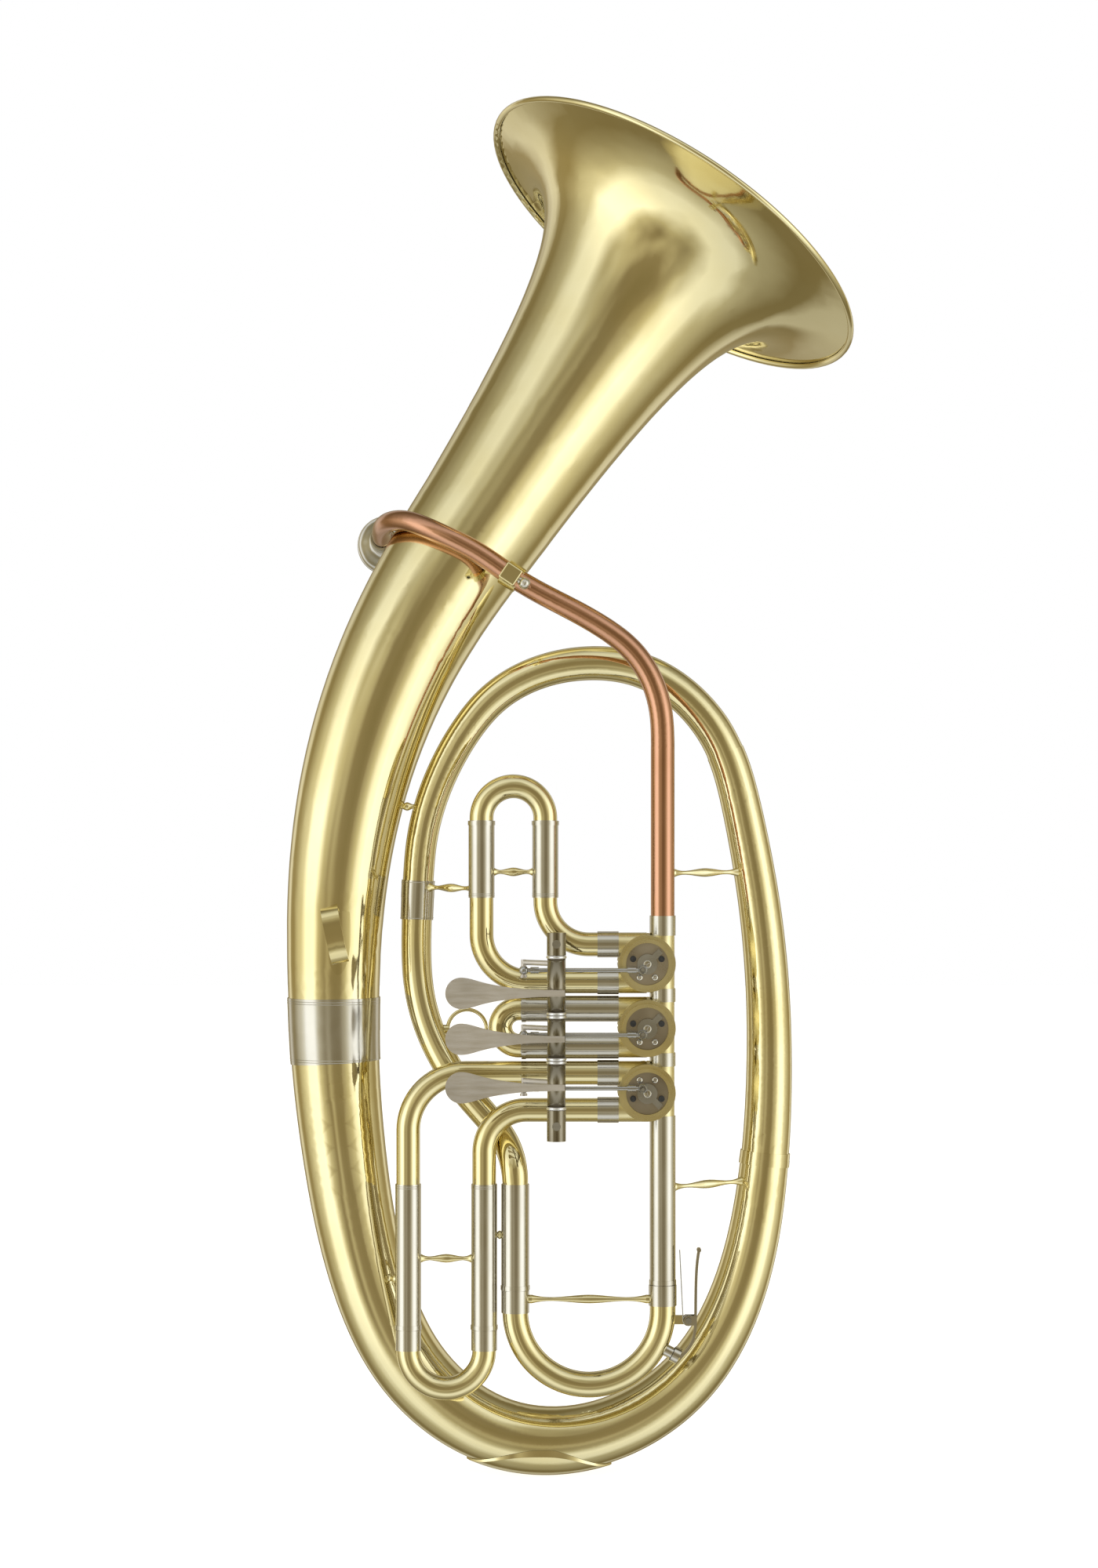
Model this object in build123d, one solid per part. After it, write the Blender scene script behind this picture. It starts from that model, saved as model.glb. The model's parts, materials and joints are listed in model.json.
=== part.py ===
from build123d import *
import os
from math import cos, radians, sin, sqrt

# B-flat tenor horn in oval form, with three rotary valves. Millimetres.
# The horn stands on its bottom bow: +Z is up, the levers face -Y and the mouthpiece faces +Y.
# The shapes are laid out with Y = 0 in the plane of the oval, then moved by TO_ORIGIN, which puts
# the origin under the middle of the horn's box, level with the lowest point of the bow guard.
TO_ORIGIN = Vector(-15.151, -65.770, -2.168)

# Valve and slide tubing: bore, wall and the nickel sleeves that the slides run in
BORE_R = 6.6
TUBE_R = 7.1
SLEEVE_BORE_R = 7.15
SLEEVE_R = 7.75
BEAD_R = 8.15
BEAD_LENGTH = 2.6
SOLDER_GAP = 0.03
FERRULE_GAP = 0.12
WALL = 0.6

# Planes of the horn, by depth
VALVE_Y = -34.0
AXLE_Y = -73.4
ROD_Y = -56.4

# Valve block
VALVE_X = 58.5
VALVE_PITCH = 38.5
VALVE_Z = [314.5, 314.5 - VALVE_PITCH, 314.5 - 2 * VALVE_PITCH]
WINDWAY_X = VALVE_X + 9.6
PORT_RISE = 11.1
CASING_R = 17.0
CASING_BORE_R = 14.55
CASING_FRONT_Y = -49.0
CASING_BACK_Y = -19.0
CASING_PLATE = 2.5
ROTOR_R = 14.5
ROTOR_HALF = 9.5
FRONT_RING_R = 14.8
FRONT_RING_INNER_R = 12.6
FRONT_RING_Y = -52.0
KNUCKLE_END_X = 36.0
PIN_RADIUS = 4.0
PIN_SIDE = [-1, -1, 1]
ROD_RISE = 3.4

# Bell
BELL_LEAN = 33.0
BELL_TILT = 15.0
RIM_CENTRE = Vector(77.8, 85.0, 766.8)
MOUTH_R = 129.8
FLARE_KNEE = 7.3
FLARE_POWER = 0.326
FLARE_LENGTH = 212.0
CURL_R = 1.9
CURL_INNER_R = 1.3
CURL_END = 190.0
RIM_WIRE_R = 1.22

# Body tubes: radius at each end, small end first
LOOP_START_R = 7.7
LOOP_END_R = 9.2
CREST_START_R = 9.3
CREST_END_R = 11.3
BRANCH_START_R = 11.6
BRANCH_END_R = 14.5
BOW_START_R = 14.6
BOW_END_R = 27.1
BELL_START_R = 27.2

# Slides: leg places and tube ends
SLIDE_1_LEFT_X = -40.4
SLIDE_1_RIGHT_X = -2.2
SLIDE_1_SLEEVE = (353.6, 399.6)
SLIDE_2_END_X = -16.4
SLIDE_3_LEFT_X = -84.3
SLIDE_3_RIGHT_X = -38.8
SLIDE_3_SLEEVE = (95.0, 182.1)
MAIN_LEFT_X = -20.2
MAIN_LEFT_SLEEVE = (118.7, 182.1)
LOOP_BOTTOM_Z = 177.5
LOOP_BEND_Z = 182.6
MAIN_RIGHT_SLEEVE = (122.0, 223.0)
MAIN_BOW_Z = 106.0
MAIN_BOW_R = 7.7
MAIN_BOW_BORE_R = 7.15
MAIN_LEFT_SLEEVE_R = 8.35

# Levers
AXLE_X = 4.4
AXLE_R = 2.0
BARREL_R = 5.25
BARREL_SPANS = [(285.4, 320.4), (258.6, 285.1), (229.6, 258.3)]
PADDLE_Z = [298.5, 271.5, 243.0]
BALL_X = AXLE_X - 19.4
BALL_R = 2.8
STUB_R = 1.5

MIN = Align.MIN
CENTER = Align.CENTER
UP = Vector(0, 0, 1)


# ---------------------------------------------------------------- small tools
def rod(start, end, radius):
    start = Vector(start)
    end = Vector(end)
    place = Plane(origin=start, z_dir=end - start)
    return place * Cylinder(radius, (end - start).length, align=(CENTER, CENTER, MIN))


def ring(start, end, outer, inner):
    return rod(start, end, outer) - rod(start, end, inner)


def front_plane(x, y, z):
    return Plane(origin=(x, y, z), x_dir=(1, 0, 0), z_dir=(0, -1, 0))


def group(pieces):
    return Compound(children=[solid for piece in pieces for solid in piece.solids()])


def solid_along(path, radius):
    start = Plane(origin=path @ 0, z_dir=path % 0)
    return sweep(start * Circle(radius), path=path)


def tube_along(path, outer, inner):
    return solid_along(path, outer) - solid_along(path, inner)


def in_valve_plane(*points):
    return [Vector(x, VALVE_Y, z) for x, z in points]


def smooth(points, start, end):
    """Spline through the points that leaves along start and arrives along end."""
    return Spline(points, tangents=[start, end], tangent_scalars=[1, 1])


def taper(start, end, power=1.0):
    def radius(t):
        return start + (end - start) * t**power

    return radius


def cone_along(path, radius, stations, first=0.0, last=1.0, grow=0.0, side=(0, 1, 0)):
    """Solid round the path; side is where the sections are joined, never along the path."""
    sections = []
    for index in range(stations + 1):
        t = first + (last - first) * index / stations
        place = Plane(origin=path @ t, x_dir=side, z_dir=path % t)
        sections.append(place * Circle(radius(t) + grow))
    return loft(sections)


def hollow(outer, inner, ends):
    """Tube sewn from an outer skin, an inner skin and a flat ring at each end."""
    skins = []
    for skin in (outer, inner):
        skins += skin.faces().filter_by(GeomType.PLANE, reverse=True)
    rings = []
    for end in ends:
        wires = []
        for skin in (outer, inner):
            caps = skin.faces().filter_by(GeomType.PLANE)
            wires.append(caps.sort_by(lambda cap: (cap.center() - end).length)[0].outer_wire())
        rings.append(Face(wires[0], [wires[1]]))
    return Solid(Shell(skins + rings))


def cone_ring(path, radius, stations, first, last, outer_grow, inner_grow, side=(0, 1, 0)):
    outer = cone_along(path, radius, stations, first, last, outer_grow, side)
    inner = cone_along(path, radius, stations, first, last, inner_grow, side)
    return hollow(outer, inner, (path @ first, path @ last))


def cone_tube(path, radius, stations):
    return cone_ring(path, radius, stations, 0.0, 1.0, 0.0, -WALL)


def band(path, radius, first, last, thickness, stations=4):
    return cone_ring(path, radius, stations, first, last, thickness, FERRULE_GAP)


# ---------------------------------------------------------------- body tubes
def loop_path():
    points = [
        (MAIN_LEFT_X, VALVE_Y, LOOP_BEND_Z),
        (-21.6, -31.5, 194.5),
        (-28.0, -20.5, 209.0),
        (-47.5, -16.5, 232.5),
        (-66.5, -12.0, 260.5),
        (-78.0, -6.0, 293.5),
        (-80.5, -1.0, 326.5),
        (-79.8, 0.0, 352.6),
    ]
    return smooth(points, (0, 0, 1), (0.035, 0, 1))


def crest_path():
    points = [
        (-79.8, 0, 352.6),
        (-76.2, 0, 393.0),
        (-67.6, 0, 421.7),
        (-51.7, 0, 452.1),
        (-33.0, 0, 474.2),
        (-5.0, 0, 489.8),
        (25.0, 0, 495.0),
        (56.2, 0, 490.5),
        (85.0, 0, 472.5),
        (107.1, 0, 440.7),
    ]
    return smooth(points, (0.035, 0, 1), (0.38, 0, -0.925))


def branch_path():
    points = [
        (107.1, 0, 440.7),
        (119.0, 0, 398.0),
        (127.5, 0, 350.0),
        (132.5, 0, 300.0),
        (133.5, 0, 240.0),
        (130.9, 0, 194.3),
    ]
    return smooth(points, (0.38, 0, -0.925), (-0.10, 0, -1))


def bow_path():
    points = [
        (130.9, 0, 194.3),
        (117.5, 0, 121.3),
        (85.5, 0, 62.2),
        (31.0, 0, 28.0),
        (-28.5, 0, 27.7),
        (-82.5, 0, 66.5),
        (-110.0, 0, 125.0),
        (-124.3, 0, 198.0),
        (-130.3, 0, 271.7),
    ]
    return smooth(points, (-0.10, 0, -1), (-0.02, 0, 1))


def bell_axis():
    tilt = radians(BELL_TILT)
    lean = radians(BELL_LEAN)
    return Vector(cos(tilt) * sin(lean), sin(tilt), cos(tilt) * cos(lean))


def tail_path():
    end = RIM_CENTRE - bell_axis() * FLARE_LENGTH
    points = [
        (-130.3, 0.0, 271.7),
        (-129.5, 0.0, 345.5),
        (-118.5, 2.0, 421.7),
        (-92.0, 8.5, 498.0),
        (-60.0, 18.6, 555.3),
        (end.X, end.Y, end.Z),
    ]
    return smooth(points, (-0.02, 0, 1), bell_axis())


def flare_radius(depth):
    return MOUTH_R * (FLARE_KNEE / (depth + FLARE_KNEE)) ** FLARE_POWER


def flare_wall_point(depth, wall):
    """A point of the flare's profile, moved in from the outer skin along its normal by wall."""
    slope = -FLARE_POWER * flare_radius(depth) / (depth + FLARE_KNEE)
    size = sqrt(1 + slope * slope)
    return (flare_radius(depth) - wall / size, -depth - wall * slope / size)


LOOP = loop_path()
CREST = crest_path()
BRANCH = branch_path()
BOW = bow_path()
TAIL = tail_path()
LOOP_RADIUS = taper(LOOP_START_R, LOOP_END_R, 0.6)
CREST_RADIUS = taper(CREST_START_R, CREST_END_R, 1.5)
BRANCH_RADIUS = taper(BRANCH_START_R, BRANCH_END_R)
BOW_RADIUS = taper(BOW_START_R, BOW_END_R)
TAIL_RADIUS = taper(BELL_START_R, flare_radius(FLARE_LENGTH), 1.25)


def flare():
    """Straight, spun end of the bell, with the curl that holds the rim wire."""
    depths = [FLARE_LENGTH * (1 - step / 11) ** 2.6 for step in range(12)]
    outer_points = [(flare_radius(d), -d) for d in depths]
    inner_points = [flare_wall_point(d, WALL) for d in depths]
    inner_points[0] = (flare_radius(FLARE_LENGTH) - WALL, -FLARE_LENGTH)
    inner_points[-1] = (MOUTH_R, WALL)
    curl_z = -CURL_INNER_R
    end = radians(CURL_END)
    inside_end = (MOUTH_R + CURL_INNER_R * cos(end), curl_z - CURL_INNER_R * sin(end))
    outside_end = (MOUTH_R + CURL_R * cos(end), curl_z - CURL_R * sin(end))
    sheet = make_face(
        [
            smooth(outer_points, (0.06, 1), (1, 0)),
            ThreePointArc((MOUTH_R, 0), (MOUTH_R, curl_z - CURL_INNER_R), inside_end),
            Line(inside_end, outside_end),
            ThreePointArc(outside_end, (MOUTH_R, curl_z - CURL_R), (MOUTH_R, WALL)),
            smooth(inner_points[::-1], (-1, 0), (-0.06, -1)),
            Line(inner_points[0], outer_points[0]),
        ]
    )
    upright = Plane(origin=(0, 0, 0), x_dir=(1, 0, 0), z_dir=(0, -1, 0)) * sheet
    place = Plane(origin=RIM_CENTRE, x_dir=(0, 1, 0), z_dir=bell_axis())
    return place * revolve(upright, axis=Axis.Z)


def loop_tube():
    """Tube from the main slide up to the top bow, straight where it enters the slide's sleeve."""
    bottom = (MAIN_LEFT_X, VALVE_Y, LOOP_BOTTOM_Z)
    bend = (MAIN_LEFT_X, VALVE_Y, LOOP_BEND_Z)
    return cone_tube(LOOP, LOOP_RADIUS, 24) + ring(bottom, bend, LOOP_START_R, LOOP_START_R - WALL)


def bell():
    return cone_tube(TAIL, TAIL_RADIUS, 12) + flare()


def rim_wire():
    place = Plane(origin=RIM_CENTRE, x_dir=(0, 1, 0), z_dir=bell_axis())
    return place * Pos(0, 0, -CURL_INNER_R) * Torus(MOUTH_R, RIM_WIRE_R)


def bell_ferrule():
    lower = band(BOW, BOW_RADIUS, 0.966, 1.0, 0.65)
    upper = band(TAIL, TAIL_RADIUS, 0.0, 0.059, 0.65)
    return lower + upper


def loop_ferrule():
    lower = band(LOOP, LOOP_RADIUS, 0.931, 1.0, 0.75)
    upper = band(CREST, CREST_RADIUS, 0.0, 0.035, 0.75)
    return lower + upper


def branch_sleeve():
    upper = band(BRANCH, BRANCH_RADIUS, 0.983, 1.0, 0.7)
    lower = band(BOW, BOW_RADIUS, 0.0, 0.007, 0.7)
    return upper + lower


def bow_guard():
    """Wear plate on the lowest part of the bottom bow, between two pointed ends."""
    plate = band(BOW, BOW_RADIUS, 0.32, 0.68, 1.3, 20)
    outline = make_face(
        [
            Spline([(-50, 0), (-30, 17), (-6, 20), (18, 17), (38, 0)]),
            Spline([(38, 0), (18, -17), (-6, -20), (-30, -17), (-50, 0)]),
        ]
    )
    cutter = Pos(0, 0, -5) * extrude(outline, amount=25)
    return plate & cutter


# ---------------------------------------------------------------- leadpipe and mouthpiece
LEADPIPE_END_Z = 337.0
RECEIVER_X = -103.0
RECEIVER_Z = 573.5
RECEIVER_SPAN = (40.0, 66.0)
RECEIVER_STEP = (44.5, 45.4)
LEADPIPE_START_R = 5.9
MOUTHPIECE_END_Y = 46.0
MOUTHPIECE_LENGTH = 77.0


def leadpipe_bend():
    points = [
        (RECEIVER_X, 44.0, RECEIVER_Z),
        (-102.5, 24.0, 576.5),
        (-98.0, 3.0, 580.5),
        (-86.0, -15.0, 580.5),
        (-66.0, -26.5, 572.5),
        (-42.5, -29.0, 560.5),
        (-21.5, -30.5, 546.0),
        (0.0, -32.0, 533.5),
        (19.0, -33.5, 523.5),
        (34.0, VALVE_Y, 514.5),
        (48.0, VALVE_Y, 503.5),
        (60.0, VALVE_Y, 487.0),
        (66.8, VALVE_Y, 466.0),
        (WINDWAY_X, VALVE_Y, 442.0),
    ]
    return smooth(points, (0, -1, 0), (0, 0, -1))


LEAD = leadpipe_bend()
LEAD_RADIUS = taper(LEADPIPE_START_R, TUBE_R)
LEAD_SIDE = (1, 1, 0)


def leadpipe():
    top = (WINDWAY_X, VALVE_Y, 442.0)
    bottom = (WINDWAY_X, VALVE_Y, LEADPIPE_END_Z)
    bend = cone_ring(LEAD, LEAD_RADIUS, 36, 0.0, 1.0, 0.0, BORE_R - TUBE_R, LEAD_SIDE)
    return bend + ring(top, bottom, TUBE_R, BORE_R)


def receiver():
    """Socket that takes the mouthpiece shank, soldered over the start of the leadpipe."""
    back, front = RECEIVER_SPAN
    step_low, step_high = RECEIVER_STEP
    pipe_room = LEADPIPE_START_R + 0.25
    profile = Polyline(
        (pipe_room, 0),
        (6.9, 0),
        (7.3, 3),
        (7.3, 18),
        (8.2, 19),
        (8.2, front - back),
        (6.3, front - back),
        (5.6, step_high - back),
        (4.9, step_high - back),
        (4.9, step_low - back),
        (pipe_room, step_low - back),
        close=True,
    )
    body = revolve(Plane.XZ * make_face(profile), axis=Axis.Z)
    return Plane(origin=(RECEIVER_X, back, RECEIVER_Z), z_dir=(0, 1, 0)) * body


def mouthpiece():
    """Cup mouthpiece: shank, backbore, cup and rounded rim, turned from one bar."""
    length = MOUTHPIECE_LENGTH
    outside = [
        Line((4.3, 0), (5.3, 0)),
        Line((5.3, 0), (6.2, 21)),
        Line((6.2, 21), (6.6, 26)),
        smooth([(6.6, 26), (7.4, 36), (10.0, 45), (15.6, 54), (17.6, 62), (17.3, 69)], (0, 1), (0, 1)),
        Spline([(17.3, 69), (18.8, 73.4), (18.2, 76.2), (16.3, length)]),
        Spline([(16.3, length), (14.0, 76.0), (12.9, 73.5), (11.5, 65), (7.5, 57), (3.4, 51)]),
        Line((3.4, 51), (3.3, 48)),
        Line((3.3, 48), (4.3, 0)),
    ]
    body = revolve(Plane.XZ * make_face(outside), axis=Axis.Z)
    return Plane(origin=(RECEIVER_X, MOUTHPIECE_END_Y, RECEIVER_Z), z_dir=(0, 1, 0)) * body


# ---------------------------------------------------------------- lyre holder
LYRE_T = 0.485
LYRE_SOCKET_R = 3.1
LYRE_SOCKET_LENGTH = 11.0
LYRE_BLOCK = 11.0
LYRE_FORWARD = 12.6
LYRE_SCREW_R = 1.5


def lyre_place():
    """Plane across the leadpipe at the holder: z along the pipe, x towards the front."""
    along = LEAD % LYRE_T
    return Plane(origin=LEAD @ LYRE_T, x_dir=(0, -1, 0), z_dir=along)


def lyre_holder():
    half = LYRE_SOCKET_LENGTH / 2
    saddle = Cylinder(LEAD_RADIUS(LYRE_T) + 1.4, LYRE_BLOCK)
    block = fillet(Box(LYRE_BLOCK, LYRE_SOCKET_LENGTH, LYRE_BLOCK).edges(), 1.2)
    neck = Pos(LYRE_FORWARD - 5, 0, 0) * Box(6, 9, LYRE_BLOCK - 2)
    foot = rod((-4, 0, 0), (-30, 0, 0), 2.4)
    shape = saddle + Pos(LYRE_FORWARD, 0, 0) * block + neck + foot
    shape -= rod((LYRE_FORWARD, -half - 1, 0), (LYRE_FORWARD, half + 1, 0), LYRE_SOCKET_R)
    shape -= rod((LYRE_FORWARD, 0, 0), (LYRE_FORWARD, 0, LYRE_BLOCK), LYRE_SCREW_R + 0.05)
    shape = lyre_place() * shape
    start = LYRE_T - 0.04
    shape -= cone_along(LEAD, LEAD_RADIUS, 6, start, LYRE_T + 0.04, SOLDER_GAP, LEAD_SIDE)
    return shape - cone_along(TAIL, TAIL_RADIUS, 10, grow=SOLDER_GAP)


def lyre_screw():
    """Thumb screw with a grooved ball head; its tip stops at the socket wall."""
    stem = rod((LYRE_FORWARD, 0, LYRE_SOCKET_R + 0.2), (LYRE_FORWARD, 0, 8.2), LYRE_SCREW_R)
    collar = rod((LYRE_FORWARD, 0, 5.9), (LYRE_FORWARD, 0, 7.3), 2.4)
    head = Pos(LYRE_FORWARD, 0, 9.6) * Sphere(3.6)
    groove = Pos(LYRE_FORWARD, 0, 9.6) * Torus(3.8, 0.5)
    return lyre_place() * (stem + collar + head - groove)


# ---------------------------------------------------------------- valves
SPINDLE_R = 4.0
SPINDLE_HOLE_R = 4.04
SPINDLE_TIP_R = 2.4
WAY_OFFSET = 24.0
WAY_R = 17.15
WAY_HALF_ANGLE = 46
CAP_R = 17.3
CAP_SLOTS = 24
STOP_PLATE_R = 12.5
STOP_PLATE_BORE_R = 5.2
STOP_PLATE_BACK_Y = -49.02
STOP_PLATE_Y = -50.4
STOP_FACE_Y = -51.15
CORK_R = 1.8
CORK_SPOT_R = 9.0
STOP_TURN = 25
PLATE_SCREW_SPOT_R = 9.2
STOP_HUB_R = 6.0
STOP_ARM_BACK_Y = -51.3
STOP_ARM_FRONT_Y = -53.4


def knuckle_ends(index):
    """Top and bottom ends of the windway tubes soldered into a casing."""
    top = LEADPIPE_END_Z if index == 0 else VALVE_Z[index] + VALVE_PITCH / 2
    bottom = MAIN_RIGHT_SLEEVE[1] - 9 if index == 2 else VALVE_Z[index] - VALVE_PITCH / 2
    return top - 0.01, bottom + 0.01


def valve_casing(index):
    z = VALVE_Z[index]
    top, bottom = knuckle_ends(index)
    centre = Vector(VALVE_X, VALVE_Y, z)
    front = Vector(VALVE_X, CASING_FRONT_Y, z)
    back = Vector(VALVE_X, CASING_BACK_Y, z)
    ring_front = Vector(VALVE_X, FRONT_RING_Y, z)
    plate_back = Vector(VALVE_X, CASING_FRONT_Y + CASING_PLATE, z)
    windway_top = Vector(WINDWAY_X, VALVE_Y, top)
    windway_bottom = Vector(WINDWAY_X, VALVE_Y, bottom)
    shape = rod(front, back, CASING_R)
    shape += ring(front + Vector(0, 1, 0), ring_front, FRONT_RING_R, FRONT_RING_INNER_R)
    shape += rod(windway_bottom, windway_top, TUBE_R)
    for side in (-1, 1):
        start = Vector(VALVE_X, VALVE_Y, z + side * PORT_RISE)
        shape += rod(start, Vector(KNUCKLE_END_X, VALVE_Y, start.Z), TUBE_R)
        shape -= rod(start, Vector(KNUCKLE_END_X - 1, VALVE_Y, start.Z), BORE_R)
    shape -= rod(windway_bottom - UP, windway_top + UP, BORE_R)
    shape -= rod(plate_back, back + Vector(0, 1, 0), CASING_BORE_R)
    return shape - rod(centre, ring_front, SPINDLE_HOLE_R)


def rotor(index):
    """Solid plug with two curved ways; a quarter turn swaps the straight path for the slide."""
    z = VALVE_Z[index]
    centre = Vector(VALVE_X, VALVE_Y, z)
    shape = rod(centre + Vector(0, ROTOR_HALF, 0), centre - Vector(0, ROTOR_HALF, 0), ROTOR_R)
    face = front_plane(VALVE_X, VALVE_Y, z)
    for side in (1, -1):
        middle = 180 if side == 1 else 0
        start = middle - WAY_HALF_ANGLE
        way = face * CenterArc((side * WAY_OFFSET, 0), WAY_R, start, 2 * WAY_HALF_ANGLE)
        shape -= solid_along(way, BORE_R)
    shape += rod(centre - Vector(0, ROTOR_HALF, 0), Vector(VALVE_X, -51.2, z), SPINDLE_R)
    shape += rod(Vector(VALVE_X, -50, z), Vector(VALVE_X, -53.3, z), SPINDLE_TIP_R)
    return shape + rod(centre + Vector(0, ROTOR_HALF, 0), Vector(VALVE_X, -20.6, z), SPINDLE_R)


def rotor_bearing(z):
    plate = ring((VALVE_X, -24.4, z), (VALVE_X, -21.6, z), ROTOR_R, SPINDLE_HOLE_R)
    return plate + ring((VALVE_X, -22, z), (VALVE_X, -20.4, z), 6.5, SPINDLE_HOLE_R)


def valve_cap(z):
    """Screw cap behind a casing, with coin slots round its edge."""
    disc = rod((VALVE_X, -18.95, z), (VALVE_X, -15.2, z), CAP_R)
    disc += ring((VALVE_X, -21.4, z), (VALVE_X, -18.9, z), 14.45, 13.0)
    disc += rod((VALVE_X, -15.4, z), (VALVE_X, -13.6, z), 5.0)
    slot_ring = CAP_R + 0.6
    for step in range(CAP_SLOTS):
        turn = radians(360 / CAP_SLOTS * step)
        spot = Vector(VALVE_X + slot_ring * cos(turn), 0, z + slot_ring * sin(turn))
        disc -= rod(spot + Vector(0, -20, 0), spot + Vector(0, -14, 0), 1.0)
    return disc


def stop_spots(index):
    """Places of the two corks, around the valve axis, for the valve's sense of turn."""
    flip = -PIN_SIDE[index]
    z = VALVE_Z[index]
    spots = []
    for angle in (45 - STOP_TURN, 135 + STOP_TURN):
        x = VALVE_X + CORK_SPOT_R * cos(radians(angle))
        spots.append((x, z + flip * CORK_SPOT_R * sin(radians(angle))))
    return spots


def stop_plate(index):
    z = VALVE_Z[index]
    back = (VALVE_X, STOP_PLATE_BACK_Y, z)
    plate = ring(back, (VALVE_X, STOP_PLATE_Y, z), STOP_PLATE_R, STOP_PLATE_BORE_R)
    for x, spot_z in stop_spots(index):
        plate += ring((x, -50.2, spot_z), (x, STOP_FACE_Y, spot_z), 2.5, CORK_R + 0.05)
    for angle in (-60, 240):
        x = VALVE_X + PLATE_SCREW_SPOT_R * cos(radians(angle))
        spot_z = z - PIN_SIDE[index] * PLATE_SCREW_SPOT_R * sin(radians(angle))
        head = rod((x, -50.2, spot_z), (x, STOP_FACE_Y, spot_z), 1.9)
        plate += head - Pos(x, STOP_FACE_Y, spot_z) * Box(4.4, 0.7, 0.6)
    return plate


def stop_corks(index):
    return [rod((x, -50.42, z), (x, -53.6, z), CORK_R) for x, z in stop_spots(index)]


def stop_arm(index):
    """Hub on the rotor's spindle, with a stop finger and the stub that the link turns on."""
    z = VALVE_Z[index]
    side = PIN_SIDE[index]
    reach = PIN_RADIUS * sqrt(0.5)
    centre = Vector(VALVE_X, STOP_ARM_BACK_Y, z)
    thick = STOP_ARM_BACK_Y - STOP_ARM_FRONT_Y
    arm = rod(centre, (VALVE_X, STOP_ARM_FRONT_Y, z), STOP_HUB_R)
    finger = extrude(front_plane(0, 0, 0) * Pos(6.6, 0) * Rectangle(9.4, 3.6), amount=thick)
    arm += Pos(centre) * Rot(0, 45 * side, 0) * finger
    arm -= rod((VALVE_X, -51.25, z), (VALVE_X, -53.5, z), SPINDLE_TIP_R + 0.03)
    pin_x = VALVE_X - reach
    pin_z = z + side * reach
    return arm + rod((pin_x, -53.2, pin_z), (pin_x, -59.4, pin_z), 1.1)


def casing_room(index):
    z = VALVE_Z[index]
    return rod((VALVE_X, -60, z), (VALVE_X, 0, z), CASING_R + 0.05)


def windway_ferrules():
    spans = [(331.0, 342.8)]
    for index in (0, 1):
        middle = VALVE_Z[index] - VALVE_PITCH / 2
        spans.append((middle - 4, middle + 4))
    ferrules = []
    for low, high in spans:
        piece = ring((WINDWAY_X, VALVE_Y, low), (WINDWAY_X, VALVE_Y, high), SLEEVE_R, SLEEVE_BORE_R)
        for index in range(3):
            piece -= casing_room(index)
        ferrules.append(piece)
    return ferrules


def side_ferrules():
    pieces = []
    for index in (0, 2):
        for side in (-1, 1):
            z = VALVE_Z[index] + side * PORT_RISE
            pieces.append(ring((29.0, VALVE_Y, z), (STUB_END_X, VALVE_Y, z), SLEEVE_R, SLEEVE_BORE_R))
    return pieces


# ---------------------------------------------------------------- slides
def crook_path(port_z, leg_x, radius, end_z):
    """From a side port, along to the bend, then up or down into a slide sleeve."""
    turn = 1 if end_z > port_z else -1
    start, corner, end = in_valve_plane((KNUCKLE_END_X, port_z), (leg_x, port_z), (leg_x, end_z))
    before = corner + Vector(radius, 0, 0)
    after = corner + Vector(0, 0, turn * radius)
    middle = corner + Vector(radius, 0, turn * radius) * (1 - sqrt(0.5))
    return Wire([Line(start, before), ThreePointArc(before, middle, after), Line(after, end)])


CROOK_1_END_Z = 357.5
CROOK_3_END_Z = 178.0
CROOKS = [
    crook_path(VALVE_Z[0] + PORT_RISE, SLIDE_1_RIGHT_X, 25.9, CROOK_1_END_Z),
    crook_path(VALVE_Z[0] - PORT_RISE, SLIDE_1_LEFT_X, 28.2, CROOK_1_END_Z),
    crook_path(VALVE_Z[2] + PORT_RISE, SLIDE_3_LEFT_X, 34.3, CROOK_3_END_Z),
    crook_path(VALVE_Z[2] - PORT_RISE, SLIDE_3_RIGHT_X, 25.1, CROOK_3_END_Z),
]
SLIDE_1_GAP = 0.4
LEG_OVERLAP = 0.01
SLIDE_1_LEG_END_Z = 358.0
SLIDE_3_BOW_Z = 88.0
SLIDE_3_TURN_Z = 82.4
SLIDE_3_LEG_END_Z = 177.0
SLIDE_3_COLLAR = (82.5, 94.6)
MAIN_BOW_LEFT_Z = 112.0
MAIN_BOW_RIGHT_Z = 120.5
MAIN_LEFT_LEG_END_Z = 176.5
MAIN_RIGHT_LEG_END_Z = 213.0
MAIN_LEFT_COLLAR = (105.0, 118.3)
MAIN_RIGHT_COLLAR = (109.3, 121.6)
MAIN_SLIDE_FIT = 0.05
STUB_END_X = 41.7


def sleeve(start, end, outer=SLEEVE_R, bore=SLEEVE_BORE_R):
    """Outer slide tube from its mouth to its soldered end, with a bead round the mouth."""
    start = Vector(start)
    direction = (Vector(end) - start).normalized()
    bead = ring(start, start + direction * BEAD_LENGTH, outer + BEAD_R - SLEEVE_R, bore)
    return ring(start, end, outer, bore) + bead


def slide_sleeves(spans):
    return group([sleeve(*in_valve_plane(start, end)) for start, end in spans])


def slide_1_sleeves():
    low, high = SLIDE_1_SLEEVE
    return slide_sleeves([((x, high), (x, low)) for x in (SLIDE_1_LEFT_X, SLIDE_1_RIGHT_X)])


def slide_2_sleeves():
    rows = (VALVE_Z[1] - PORT_RISE, VALVE_Z[1] + PORT_RISE)
    return slide_sleeves([((SLIDE_2_END_X, z), (STUB_END_X, z)) for z in rows])


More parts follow.
